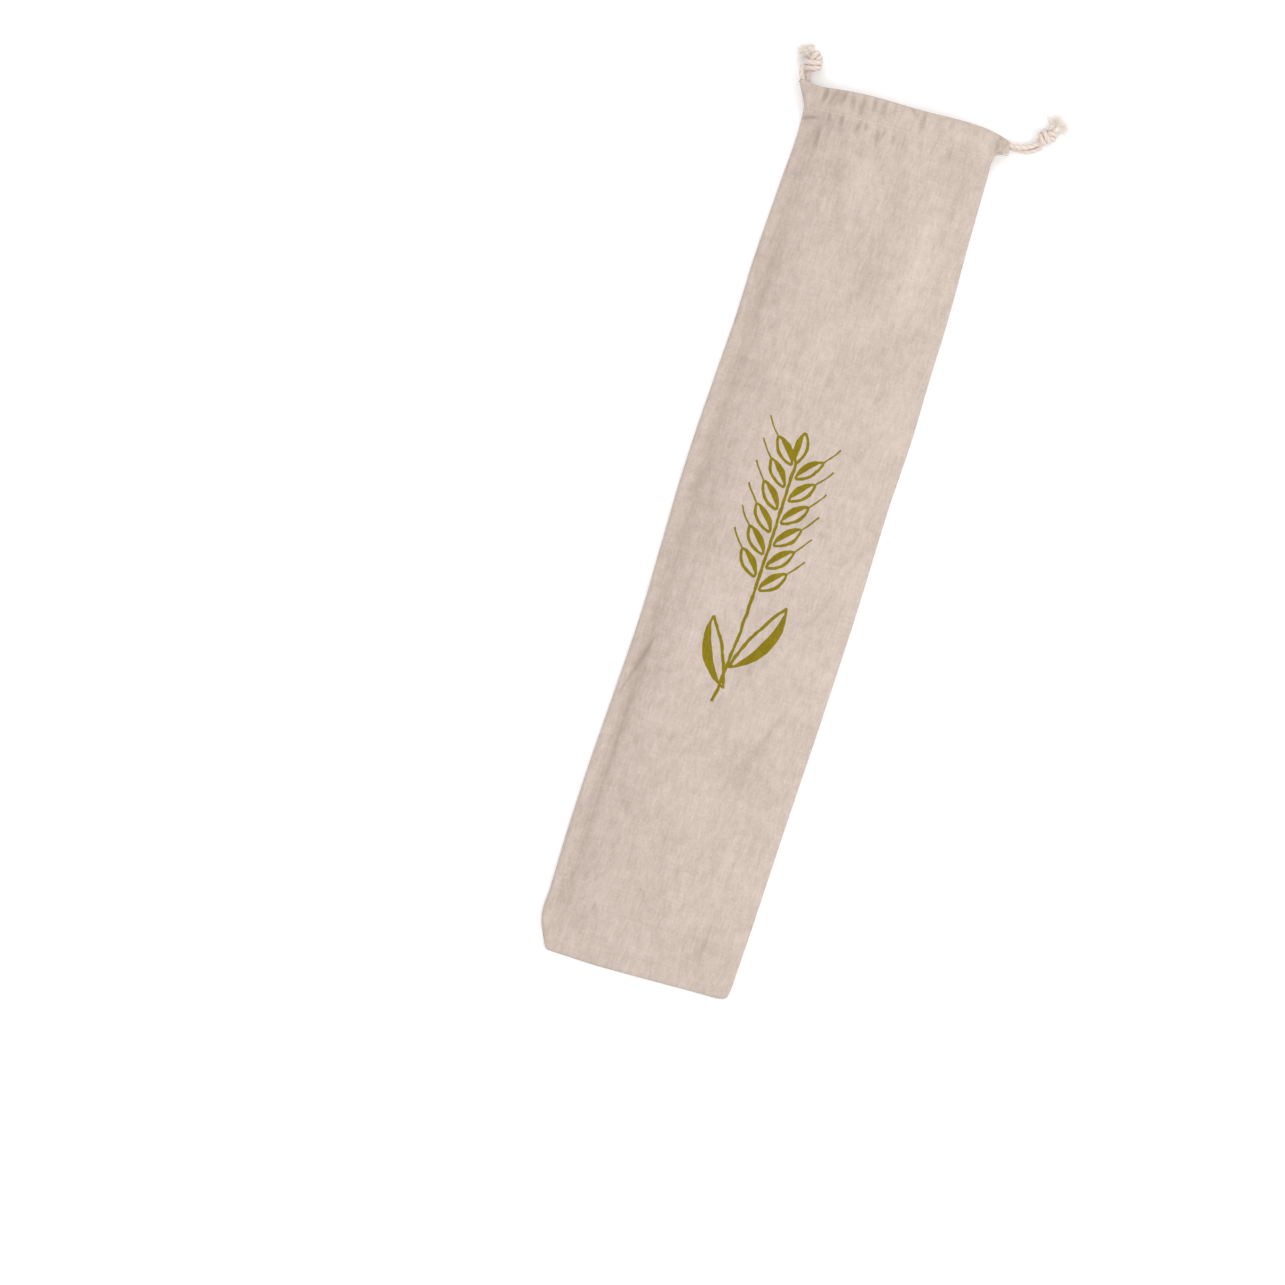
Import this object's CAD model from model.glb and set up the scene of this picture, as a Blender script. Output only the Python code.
"""A linen bread bag lying on its back, with its double drawstring drawn through the mouth casing.

Metres, +Z up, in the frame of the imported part: the bag's length runs along Y with the mouth at +Y, its
front faces +Z and its underside lies on z = 0.
"""

import math

import bpy
import numpy as np
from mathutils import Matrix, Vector


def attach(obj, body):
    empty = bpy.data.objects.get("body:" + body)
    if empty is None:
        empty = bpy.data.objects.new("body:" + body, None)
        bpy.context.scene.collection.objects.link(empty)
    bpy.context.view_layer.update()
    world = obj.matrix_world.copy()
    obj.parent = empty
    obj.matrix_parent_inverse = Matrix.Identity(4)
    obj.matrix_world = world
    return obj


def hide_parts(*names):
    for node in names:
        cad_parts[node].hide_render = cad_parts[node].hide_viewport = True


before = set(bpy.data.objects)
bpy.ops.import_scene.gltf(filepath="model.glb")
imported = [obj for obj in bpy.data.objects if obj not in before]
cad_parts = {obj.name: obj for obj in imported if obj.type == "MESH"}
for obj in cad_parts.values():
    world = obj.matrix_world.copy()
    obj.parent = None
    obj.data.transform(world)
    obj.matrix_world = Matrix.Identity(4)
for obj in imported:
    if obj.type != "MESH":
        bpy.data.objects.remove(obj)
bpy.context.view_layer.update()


# ---- Camera -------------------------------------------------------------------------------------------
# Straight above the bag, far off and with a long lens, turned so that the bag leans to the right.

VIEW_CENTRE = (-0.0646, -0.0999)
VIEW_WIDTH = 0.9421  # of the floor that the frame takes in
VIEW_HEIGHT = 7.0  # of the camera over the floor
VIEW_TURN = 17.99  # degrees

lens = bpy.data.cameras.new("camera")
lens.sensor_width = 36
lens.lens = lens.sensor_width * VIEW_HEIGHT / VIEW_WIDTH
lens.clip_start, lens.clip_end = 0.05, 30
camera = bpy.data.objects.new("camera", lens)
camera.location = (*VIEW_CENTRE, VIEW_HEIGHT)
camera.rotation_euler = (0, 0, math.radians(VIEW_TURN))
bpy.context.scene.collection.objects.link(camera)
bpy.context.scene.camera = camera


# ---- Drawstrings --------------------------------------------------------------------------------------
# Two cords of soft undyed cotton, each of three strands laid together. Each runs from its knot through
# the front casing, round the side seam, and back through the back casing to the same knot.

CORD = 0.0040  # diameter
CORD_LAY = 0.0150  # length of one turn of a strand round the cord
STRANDS = 3
STRAND_GROOVE = 0.15  # depth of the grooves between the strands, as a share of the radius
STRAND_ROUND = 0.8  # power of the cosine that rounds a strand
LEFT_ROUTE = (
    # x, y, z
    (-0.0837, 0.3377, 0.0054),
    (-0.0832, 0.3345, 0.0053),
    (-0.0818, 0.3312, 0.0066),
    (-0.0798, 0.3277, 0.0081),
    (-0.0778, 0.3236, 0.0086),
    (-0.0742, 0.3190, 0.0096),
    (-0.0692, 0.3167, 0.0112),
    (-0.0640, 0.3166, 0.0124),
    (-0.0480, 0.3183, 0.0146),
    (-0.0320, 0.3199, 0.0152),
    (-0.0160, 0.3209, 0.0152),
    (0.0000, 0.3213, 0.0152),
    (0.0160, 0.3219, 0.0152),
    (0.0320, 0.3228, 0.0152),
    (0.0480, 0.3233, 0.0146),
    (0.0640, 0.3231, 0.0124),
    (0.0700, 0.3230, 0.0119),
    (0.0758, 0.3231, 0.0110),
    (0.0784, 0.3232, 0.0078),
    (0.0768, 0.3232, 0.0047),
    (0.0728, 0.3231, 0.0035),
    (0.0640, 0.3231, 0.0034),
    (0.0480, 0.3233, 0.0034),
    (0.0320, 0.3228, 0.0034),
    (0.0160, 0.3219, 0.0034),
    (0.0000, 0.3213, 0.0034),
    (-0.0160, 0.3209, 0.0034),
    (-0.0320, 0.3199, 0.0034),
    (-0.0480, 0.3183, 0.0034),
    (-0.0640, 0.3166, 0.0034),
    (-0.0698, 0.3169, 0.0034),
    (-0.0745, 0.3192, 0.0035),
    (-0.0768, 0.3236, 0.0036),
    (-0.0773, 0.3282, 0.0036),
    (-0.0776, 0.3315, 0.0032),
    (-0.0779, 0.3358, 0.0037),
)
RIGHT_ROUTE = (
    # x, y, z
    (0.0979, 0.3369, 0.0047),
    (0.0937, 0.3337, 0.0049),
    (0.0893, 0.3315, 0.0058),
    (0.0834, 0.3300, 0.0075),
    (0.0772, 0.3291, 0.0097),
    (0.0712, 0.3284, 0.0116),
    (0.0640, 0.3281, 0.0124),
    (0.0480, 0.3283, 0.0146),
    (0.0320, 0.3278, 0.0152),
    (0.0160, 0.3269, 0.0152),
    (0.0000, 0.3263, 0.0152),
    (-0.0160, 0.3259, 0.0152),
    (-0.0320, 0.3249, 0.0152),
    (-0.0480, 0.3233, 0.0146),
    (-0.0600, 0.3220, 0.0130),
    (-0.0650, 0.3218, 0.0123),
    (-0.0689, 0.3220, 0.0107),
    (-0.0704, 0.3220, 0.0079),
    (-0.0689, 0.3220, 0.0050),
    (-0.0650, 0.3218, 0.0035),
    (-0.0600, 0.3220, 0.0034),
    (-0.0480, 0.3233, 0.0034),
    (-0.0320, 0.3249, 0.0034),
    (-0.0160, 0.3259, 0.0034),
    (0.0000, 0.3263, 0.0034),
    (0.0160, 0.3269, 0.0034),
    (0.0320, 0.3278, 0.0034),
    (0.0480, 0.3283, 0.0034),
    (0.0640, 0.3281, 0.0034),
    (0.0720, 0.3282, 0.0034),
    (0.0785, 0.3284, 0.0034),
    (0.0845, 0.3284, 0.0025),
    (0.0900, 0.3288, 0.0022),
    (0.0952, 0.3306, 0.0022),
    (0.1000, 0.3340, 0.0026),
)
CURVE_POINTS = 4000  # at which a route's curve is measured
CORD_STEP = 0.00048  # between the rings of a drawstring


def smooth(rows, column, at):
    """A column of a table read at the given values of its first column, on a curve through every row.

    Between two rows the curve is a cubic. Its slope at a row is the mean slope of the stretches beside it.
    """
    table = np.array(rows, float)
    x, y = table[:, 0], table[:, column]
    slope = np.gradient(y, x)
    at = np.clip(at, x[0], x[-1])
    i = np.clip(np.searchsorted(x, at) - 1, 0, len(x) - 2)
    width = x[i + 1] - x[i]
    t = (at - x[i]) / width
    rise = (2 * t**3 - 3 * t**2 + 1) * y[i] + (3 * t**2 - 2 * t**3) * y[i + 1]
    lean = (t**3 - 2 * t**2 + t) * slope[i] + (t**3 - t**2) * slope[i + 1]
    return rise + width * lean


def run_along(line):
    """The length of the line from its start to each of its points."""
    return np.concatenate([[0], np.cumsum(np.linalg.norm(np.diff(line, axis=0), axis=1))])


def line_through(points, spacing):
    """Points a fixed spacing apart along the smooth curve through a route."""
    route = np.array(points)
    rows = np.column_stack([run_along(route), route])
    fine = np.linspace(0, rows[-1, 0], CURVE_POINTS)
    line = np.column_stack([smooth(rows, k, fine) for k in (1, 2, 3)])
    run = run_along(line)
    even = np.linspace(0, run[-1], max(round(run[-1] / spacing), 2) + 1)
    return np.column_stack([np.interp(even, run, line[:, k]) for k in range(3)])


def directions(line):
    """The line's own direction at each point, and two square to it that turn with it and don't twist."""
    ahead = np.gradient(line, axis=0)
    ahead /= np.linalg.norm(ahead, axis=1, keepdims=True)
    side = np.empty_like(line)
    start = np.cross(ahead[0], (0.0, 0.0, 1.0))
    side[0] = start / np.linalg.norm(start)
    for i in range(1, len(line)):
        turned = side[i - 1] - ahead[i] * (side[i - 1] @ ahead[i])
        side[i] = turned / np.linalg.norm(turned)
    return ahead, side, np.cross(ahead, side)


def laid_cord(line, radius, sides=24, flat=1.0, turned=0.0):
    """The surface of a cord of three laid strands along a line, and its UV map.

    Round the line the radius is the cord's, less a groove between the strands that turns once in a lay.
    flat squeezes it upright. The UV map is (share of the way round, metres along).
    """
    run = run_along(line)
    _, side, up = directions(line)
    angle = np.arange(sides) / sides * math.tau
    spin = math.tau * run / CORD_LAY + turned
    lobe = np.abs(np.cos(STRANDS / 2 * (angle[None, :] - spin[:, None])))
    reach = np.asarray(radius)[..., None] * (1 - STRAND_GROOVE + STRAND_GROOVE * lobe**STRAND_ROUND)
    out = side[:, None] * np.cos(angle)[None, :, None] + up[:, None] * np.sin(angle)[None, :, None]
    out = out * np.array((1.0, 1.0, flat))
    grid = line[:, None] + out * reach[..., None]
    uv = np.stack(np.broadcast_arrays(angle[None, :] / math.tau, run[:, None]), -1)
    return grid, uv


def tubes(name, grids, uvs, material):
    """A piece of closed tubes over grids of points, (rings, sides, 3) each, with a UV map over each.

    The last side of a ring joins its first, and a point in the middle of each end ring shuts that end.
    """
    points, faces, corners = [], [], []
    base = 0
    for grid, uv in zip(grids, uvs):
        rings, sides = grid.shape[:2]
        index = base + np.arange(rings * sides).reshape(rings, sides)
        after = (np.arange(sides) + 1) % sides
        quads = np.stack([index[:-1], index[:-1, after], index[1:, after], index[1:]], -1)
        once_round = np.stack([after == 0, np.zeros(sides)], -1)
        uv_after = uv[:, after] + once_round
        corners.append(np.stack([uv[:-1], uv_after[:-1], uv_after[1:], uv[1:]], 2).reshape(-1, 2))
        corners.append(np.repeat([uv[0, 0], uv[-1, 0]], 3 * sides, axis=0))
        points += [grid.reshape(-1, 3), grid[[0, -1]].mean(1)]
        first, last = base + rings * sides, base + rings * sides + 1
        faces += quads.reshape(-1, 4).tolist()
        faces += [(first, b, a) for a, b in zip(index[0].tolist(), index[0, after].tolist())]
        faces += [(last, a, b) for a, b in zip(index[-1].tolist(), index[-1, after].tolist())]
        base = last + 1
    mesh = bpy.data.meshes.new(name)
    mesh.from_pydata(np.concatenate(points).tolist(), [], faces)
    uv_map = mesh.uv_layers.new(name="UVMap")
    uv_map.data.foreach_set("uv", np.concatenate(corners).astype(np.float32).ravel())
    return finished(name, mesh, material)


def finished(name, mesh, material):
    """The piece that a mesh makes, smooth and in its material."""
    mesh.shade_smooth()
    mesh.materials.append(material)
    piece = bpy.data.objects.new(name, mesh)
    bpy.context.scene.collection.objects.link(piece)
    return piece


class Value:
    """A number or a vector in a node tree. Arithmetic with it places Math nodes and gives their result."""

    def __init__(self, graph, socket):
        self.graph, self.socket = graph, socket

    def __add__(self, other):
        return self.graph.math("ADD", self, other)

    def __sub__(self, other):
        return self.graph.math("SUBTRACT", self, other)

    def __rsub__(self, other):
        return self.graph.math("SUBTRACT", other, self)

    def __mul__(self, other):
        return self.graph.math("MULTIPLY", self, other)

    def __truediv__(self, other):
        return self.graph.math("DIVIDE", self, other)

    def __lt__(self, other):
        return self.graph.math("LESS_THAN", self, other)

    def __gt__(self, other):
        return self.graph.math("GREATER_THAN", self, other)

    def __abs__(self):
        return self.graph.math("ABSOLUTE", self)


class Graph:
    """Short ways to place nodes in a node tree. Each takes Values or numbers, and gives a Value."""

    def __init__(self, tree):
        self.tree = tree

    def feed(self, socket, value):
        if isinstance(value, Value):
            self.tree.links.new(value.socket, socket)
        else:
            socket.default_value = value

    def node(self, kind, inputs=(), **settings):
        """A whole node, for those with more than one output."""
        node = self.tree.nodes.new(kind)
        for key, value in settings.items():
            setattr(node, key, value)
        for socket, value in dict(inputs).items():
            self.feed(node.inputs[socket], value)
        return node

    def put(self, kind, inputs=(), output=0, **settings):
        """A node placed for one of its outputs."""
        return Value(self, self.node(kind, inputs, **settings).outputs[output])

    def math(self, operation, *values, clamp=False):
        return self.put("ShaderNodeMath", enumerate(values), operation=operation, use_clamp=clamp)

    def ramp(self, value, low, high, to_low=0.0, to_high=1.0):
        """value carried from the range low to high onto to_low to to_high, smoothly and no further."""
        inputs = {"Value": value, "From Min": low, "From Max": high, "To Min": to_low, "To Max": to_high}
        return self.put("ShaderNodeMapRange", inputs, "Result", interpolation_type="SMOOTHSTEP")

    def mix(self, share, first, second):
        return self.put("ShaderNodeMix", {0: share, 6: first, 7: second}, 2, data_type="RGBA")

    def combine(self, x, y, z=0.0):
        return self.put("ShaderNodeCombineXYZ", {"X": x, "Y": y, "Z": z})

    def split(self, vector):
        node = self.node("ShaderNodeSeparateXYZ", {"Vector": vector})
        return [Value(self, socket) for socket in node.outputs]

    def noise(self, vector, scale, detail=2.0, rough=0.5):
        inputs = {"Vector": vector, "Scale": scale, "Detail": detail, "Roughness": rough}
        return self.put("ShaderNodeTexNoise", inputs, "Fac")

    def drawn_noise(self, x, y, z=0.0, detail=1.0, rough=0.5):
        """Noise at x, y and z, each already scaled, so that it can be drawn out one way."""
        return self.noise(self.combine(x, y, z), 1.0, detail, rough)

    def bump(self, height, distance, strength):
        inputs = {"Height": height, "Distance": distance, "Strength": strength}
        return self.put("ShaderNodeBump", inputs, "Normal")

    def group(self, group, inputs):
        """A shared group placed here. Returns its outputs by name."""
        node = self.node("ShaderNodeGroup", inputs, node_tree=group)
        return {socket.name: Value(self, socket) for socket in node.outputs}


def new_material(name, roughness, sheen=0.0, sheen_roughness=0.5, specular=0.25):
    """A material with its own Principled shader. Returns (material, the graph of its nodes, the shader)."""
    made = bpy.data.materials.new(name)
    made.use_nodes = True
    shader = made.node_tree.nodes["Principled BSDF"]
    shader.inputs["Roughness"].default_value = roughness
    shader.inputs["Specular IOR Level"].default_value = specular
    shader.inputs["Sheen Weight"].default_value = sheen
    shader.inputs["Sheen Roughness"].default_value = sheen_roughness
    return made, Graph(made.node_tree), shader


def new_group(name, place, numbers, outputs):
    """A shader node group that reads a place and some numbers, and puts out numbers.

    numbers holds each number's default. Returns (group, its graph, its inputs by name, its outputs).
    """
    group = bpy.data.node_groups.new(name, "ShaderNodeTree")
    group.interface.new_socket(place, in_out="INPUT", socket_type="NodeSocketVector")
    for number, default in numbers.items():
        made = group.interface.new_socket(number, in_out="INPUT", socket_type="NodeSocketFloat")
        made.default_value = default
    for output in outputs:
        group.interface.new_socket(output, in_out="OUTPUT", socket_type="NodeSocketFloat")
    graph = Graph(group)
    given = {socket.name: Value(graph, socket) for socket in graph.node("NodeGroupInput").outputs}
    return group, graph, given, graph.node("NodeGroupOutput").inputs


HAIRS_ACROSS, HAIRS_ALONG = 3200.0, 260.0  # to a metre of yarn
SLUBS_ACROSS, SLUBS_ALONG = 500.0, 90.0


def cotton_fibres():
    """Undyed cotton: fine hairs and coarser slubs, both noise drawn out along the yarn.

    Along is the place across and along the yarn in metres. Shade darkens, and Height stands the hairs up.
    """
    group, graph, given, out = new_group(
        "cotton_fibres", "Along", {"Hairs per metre": HAIRS_ACROSS}, ("Shade", "Height")
    )
    x, y, z = graph.split(given["Along"])
    hairs = graph.drawn_noise(x * given["Hairs per metre"], y * HAIRS_ALONG, z, 3.0, 0.6)
    slubs = graph.drawn_noise(x * SLUBS_ACROSS, y * SLUBS_ALONG, z)
    graph.feed(out["Shade"], hairs * 0.6 + slubs * 0.4)
    graph.feed(out["Height"], hairs + slubs * 0.5)
    return group


COTTON_FIBRES = cotton_fibres()
COTTON_LIGHT = (0.730, 0.635, 0.575, 1)
COTTON_DARK = (0.500, 0.395, 0.340, 1)
FIBRE_SHADE, GROOVE_SHADE, YARN_SHADE = 0.42, 0.62, 0.05  # how much each darkens the cord
YARNS_ROUND = 21  # yarns that show round the cord
YARN_TURNS = 12.0  # their turns in a metre, against the lay
GROOVE_SHARE = 0.42  # of a strand's wave that lies in the dark of a groove
CORD_RELIEF = 0.00016


def cord_cotton():
    """The cotton of the laid cord: its yarns lean against the lay, and its grooves are darker.

    Round and along the cord the strands are the absolute value of a cosine, and the yarns a finer sine.
    """
    made, graph, shader = new_material("cotton_cord", roughness=0.86, sheen=0.25)
    u, v, _ = graph.split(graph.put("ShaderNodeUVMap", uv_map="UVMap"))
    lobe = abs(graph.math("COSINE", (u - v / CORD_LAY) * (math.pi * STRANDS)))
    groove = graph.ramp(lobe, 0.0, GROOVE_SHARE, 1.0, 0.0)
    yarns = graph.math("SINE", (u + v * YARN_TURNS) * (YARNS_ROUND * math.tau))
    fibres = graph.group(COTTON_FIBRES, {"Along": graph.combine(u * (CORD * math.pi), v)})
    shade = graph.ramp(fibres["Shade"], 0.30, 0.70, 0.0, FIBRE_SHADE)
    shade = graph.math("ADD", shade, groove * GROOVE_SHADE, clamp=True)
    shade = graph.math("ADD", shade, yarns * YARN_SHADE, clamp=True)
    graph.feed(shader.inputs["Base Color"], graph.mix(shade, COTTON_LIGHT, COTTON_DARK))
    height = yarns * 0.35 + fibres["Height"]
    graph.feed(shader.inputs["Normal"], graph.bump(height, CORD_RELIEF, 0.9))
    return made


COTTON_CORD = cord_cotton()


def drawstring(name, route, turned):
    """One whole drawstring along its route, and the line that it follows."""
    line = line_through(route, CORD_STEP)
    grid, uv = laid_cord(line, CORD / 2, turned=turned)
    return tubes(name, [grid], [uv], COTTON_CORD), line


left_cord, left_line = drawstring("left_cord", LEFT_ROUTE, turned=0.4)
right_cord, right_line = drawstring("right_cord", RIGHT_ROUTE, turned=1.3)


# ---- Knots --------------------------------------------------------------------------------------------
# The two ends of each drawstring are tied together in one overhand knot, pulled tight. The soft cotton
# squeezes a little flat where it passes over and under itself.

# An overhand knot in two cords side by side, in cord diameters: x along the cords, y and z across them.
KNOT_STRANDS = (
    (
        (-2.94, 0.57, -0.79), (-2.13, 0.68, -0.81), (-1.37, 0.98, -0.90), (-0.74, 1.48, -0.91),
        (-0.44, 2.04, -0.44), (-0.53, 2.00, 0.34), (-0.77, 1.45, 0.89), (-1.05, 0.73, 1.11),
        (-1.28, 0.02, 0.82), (-1.43, -0.52, 0.22), (-1.64, -0.63, -0.54), (-1.87, -0.22, -1.20),
        (-2.11, 0.46, -1.57), (-2.28, 1.18, -1.32), (-2.16, 1.40, -0.57), (-1.69, 1.11, 0.02),
        (-1.01, 0.74, 0.25), (-0.25, 0.42, 0.27), (0.53, 0.20, 0.30), (1.34, 0.11, 0.32),
    ),
    (
        (-3.07, -0.05, -0.02), (-2.24, 0.04, -0.09), (-1.45, 0.19, -0.33), (-0.70, 0.41, -0.62),
        (-0.04, 0.86, -0.86), (0.38, 1.53, -0.65), (0.46, 1.83, 0.10), (0.28, 1.41, 0.77),
        (0.01, 0.68, 1.08), (-0.27, -0.08, 0.92), (-0.44, -0.47, 0.22), (-0.59, -0.52, -0.61),
        (-0.84, -0.16, -1.30), (-1.11, 0.54, -1.68), (-1.36, 1.33, -1.66), (-1.40, 1.79, -1.00),
        (-0.98, 1.58, -0.34), (-0.25, 1.25, -0.10), (0.56, 1.05, -0.06), (1.40, 1.00, -0.10),
    ),
)
KNOT_MIDDLE = (-0.91, 0.73, -0.30)  # of the wraps, in the same axes
KNOT_FLAT = 0.86  # height of a knot that lies pressed down, as a share of the table's
KNOT_SQUEEZE = 0.94  # height of its cord, as a share of the cord's width
KNOT_STEP = 0.00042  # between the rings of its cord
KNOT_DRAWN = 0.0040  # length over which the cord narrows to its width in the knot
LEAD = 7  # points of a drawstring's line that set its way into the knot


def knot(name, drawn, centre, heading, width):
    """An overhand knot of both ends of a drawstring's line, and the two ends that leave it.

    Each strand starts at its drawstring's end and follows the table, scaled by the cord's width, pressed
    down and turned to the heading. Returns (piece, [(end point, its direction) of each strand]).
    """
    turn = math.radians(heading)
    ahead = np.array((math.cos(turn), math.sin(turn), 0.0))
    across = np.array((math.sin(turn), -math.cos(turn), 0.0))
    entering = ((drawn[-1], drawn[-1 - LEAD]), (drawn[0], drawn[LEAD]))
    grids, uvs, leaving = [], [], []
    for strand, (start, before) in zip(KNOT_STRANDS, entering):
        place = (np.array(strand) - KNOT_MIDDLE) * width
        world = np.array(centre) + place[:, :1] * ahead + place[:, 1:2] * across
        world[:, 2] -= place[:, 2] * KNOT_FLAT
        line = line_through(np.concatenate([[before, start], world[1:]]), KNOT_STEP)
        line = line[np.argmin(np.linalg.norm(line - start, axis=1)) - 1:]
        radius = width / 2 + (CORD / 2 - width / 2) * np.clip(1 - run_along(line) / KNOT_DRAWN, 0, 1)
        grid, uv = laid_cord(line, radius, flat=KNOT_SQUEEZE)
        grids.append(grid)
        uvs.append(uv)
        leaving.append((line[-1], line[-1] - line[-6]))
    return tubes(name, grids, uvs, COTTON_CORD), leaving


left_knot, left_ends = knot(
    "left_overhand_knot", left_line, centre=(-0.0764, 0.3436, 0.0072), heading=122.0, width=0.00395
)
right_knot, right_ends = knot(
    "right_overhand_knot", right_line, centre=(0.1029, 0.3441, 0.0062), heading=62.0, width=0.0037
)
for piece, node in ((left_knot, "left_knot"), (right_knot, "right_knot")):
    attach(piece, "root")
    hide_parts(node)


# ---- Frayed ends --------------------------------------------------------------------------------------
# Past each knot the cords' ends come unlaid into their yarns, a soft tuft of fine cotton that spreads
# out just over the floor.

YARN = 0.00017  # radius of a yarn where it leaves the cord
YARN_RINGS, YARN_SIDES = 11, 4
YARN_PACK = 0.42  # how far off its cord's middle a yarn may start, as a share of the cord's diameter
YARN_ROOT = 0.0022  # how far back inside its cord it starts
YARN_SPRING = 0.0026  # how far it goes its cord's way
YARN_TURN = 0.35  # share of its length over which it does so, less and less
YARN_WAVES = (0.9, 1.9, 3.3)  # along a yarn
YARN_SWING = 0.00085  # spread of the first wave's height. The second has half of it, the third a third
YARN_SINK = 0.0012  # how far a tip sinks
YARN_LOW, LOCK_STEP, LOCK_LEVELS = 0.0004, 0.0001, 7  # least height of a yarn, in steps by its lock
YARN_SQUARE = (0.12, -0.09, 0.99)  # a direction that no yarn has, to set its rings' sides by
LEFT_LOCKS = (
    # share of the yarns, bearing and half spread in degrees, rise, length
    (1.4, 164, 11, 0.10, 0.0060),
    (1.3, 189, 9, -0.05, 0.0078),
    (1.1, 213, 8, -0.20, 0.0102),
    (0.8, 233, 7, -0.25, 0.0132),
    (0.7, 141, 8, 0.15, 0.0060),
    (0.4, 96, 5, 0.30, 0.0070),
    (0.3, 74, 4, 0.30, 0.0088),
    (0.4, 248, 6, -0.25, 0.0118),
    (0.9, 180, 40, 0.10, 0.0046),
    (0.2, 179, 4, 0.00, 0.0130),
)
RIGHT_LOCKS = (
    # the same
    (1.3, 62, 8, 0.25, 0.0084),
    (1.2, 34, 8, 0.05, 0.0108),
    (1.3, 8, 9, -0.10, 0.0116),
    (1.0, 87, 5, 0.10, 0.0130),
    (0.8, 109, 5, 0.00, 0.0122),
    (0.8, 133, 6, -0.05, 0.0098),
    (0.7, -12, 8, -0.15, 0.0090),
    (0.8, 48, 44, 0.15, 0.0056),
    (0.4, 71, 4, 0.00, 0.0140),
    (0.3, 22, 4, 0.00, 0.0134),
)
TUFT_LIGHT = (0.915, 0.846, 0.778, 1)
TUFT_DARK = (0.765, 0.675, 0.590, 1)
TUFT_HAIRS = 9000.0  # to a metre across a yarn
TUFT_SHADE = 0.55
TUFT_RELIEF = 0.00008


def tuft_cotton():
    """The loose yarns of the tufts: cleaner and fluffier than the cord."""
    made, graph, shader = new_material("frayed_cotton", roughness=0.9, sheen=0.35, sheen_roughness=0.6)
    u, v, _ = graph.split(graph.put("ShaderNodeUVMap", uv_map="UVMap"))
    place = graph.combine(u * 0.0012, v, u)
    fibres = graph.group(COTTON_FIBRES, {"Along": place, "Hairs per metre": TUFT_HAIRS})
    shade = graph.ramp(fibres["Shade"], 0.25, 0.75, 0.0, TUFT_SHADE)
    graph.feed(shader.inputs["Base Color"], graph.mix(shade, TUFT_LIGHT, TUFT_DARK))
    graph.feed(shader.inputs["Normal"], graph.bump(fibres["Height"], TUFT_RELIEF, 0.8))
    return made


FRAYED_COTTON = tuft_cotton()


def frayed_ends(name, ends, locks, yarns, seed):
    """A tuft of yarns, worked out together as one array of (yarn, ring, side).

    A yarn starts in its cord's end and runs along the cord's direction at first. It then bends round to
    the bearing of its lock, a little off it, waves more and more, sinks towards the floor and thins to
    its tip. Its length is 0.35 to 1.15 of its lock's.
    """
    chance = np.random.default_rng(seed)
    table = np.array(locks)
    lock = np.sort(chance.choice(len(table), yarns, p=table[:, 0] / table[:, 0].sum()))
    _, bearing, spread, rise, length = table[lock].T
    which = chance.integers(0, len(ends), yarns)
    starts = np.array([e[0] for e in ends])[which]
    leave = np.array([e[1] for e in ends])[which]
    leave /= np.linalg.norm(leave, axis=1, keepdims=True)
    square = np.cross(leave, (0.0, 0.0, 1.0))
    square /= np.linalg.norm(square, axis=1, keepdims=True)
    over = np.cross(square, leave)
    angle = chance.uniform(0, math.tau, yarns)
    away = np.sqrt(chance.uniform(0, 1, yarns)) * CORD * YARN_PACK
    lateral, upward = away * np.cos(angle), away * np.sin(angle)
    starts = starts - leave * YARN_ROOT + square * lateral[:, None] + over * upward[:, None]
    heading = np.radians(bearing + spread * np.clip(chance.normal(0, 0.5, yarns), -1.3, 1.3))
    lift = rise + chance.normal(0, 0.14, yarns) + 60 * upward
    aim = np.stack([np.cos(heading), np.sin(heading), lift], 1)
    reach = length * (0.35 + 0.80 * chance.beta(1.6, 1.5, yarns))
    t = np.linspace(0, 1, YARN_RINGS)[None, :, None]
    ease = YARN_SPRING * (1 - (1 - np.minimum(t / YARN_TURN, 1)) ** 2)
    line = starts[:, None] + leave[:, None] * ease + aim[:, None] * reach[:, None, None] * t**1.35
    for k, waves in enumerate(YARN_WAVES):
        phase = chance.uniform(0, math.tau, (yarns, 1, 3))
        swing = chance.normal(0, YARN_SWING / (k + 1), (yarns, 1, 3)) * np.array((1.0, 1.0, 0.6))
        line = line + swing * t * (np.sin(phase + math.tau * waves * t) - np.sin(phase))
    lowest = YARN_LOW + LOCK_STEP * (lock[:, None] % LOCK_LEVELS)
    line[..., 2] = np.maximum(line[..., 2] - YARN_SINK * t[..., 0] ** 2, lowest)
    ahead = np.gradient(line, axis=1)
    ahead /= np.linalg.norm(ahead, axis=2, keepdims=True)
    side = np.cross(ahead, YARN_SQUARE)
    side /= np.linalg.norm(side, axis=2, keepdims=True)
    up = np.cross(ahead, side)
    width = YARN * chance.uniform(0.6, 1.2, yarns)[:, None, None] * (1 - 0.80 * t**1.5)
    turn = np.arange(YARN_SIDES) / YARN_SIDES * math.tau
    ring = side[:, :, None] * np.cos(turn)[:, None] + up[:, :, None] * np.sin(turn)[:, None]
    grid = line[:, :, None] + ring * width[..., None]
    run = np.cumsum(np.linalg.norm(np.diff(line, axis=1, prepend=line[:, :1]), axis=2), axis=1)
    offset = chance.uniform(0, 1, (yarns, 1))
    around = (turn / math.tau)[None, None] + 7 * offset[..., None]
    uv = np.stack(np.broadcast_arrays(around, run[..., None]), -1)
    return tubes(name, list(grid), list(uv), FRAYED_COTTON)


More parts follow.
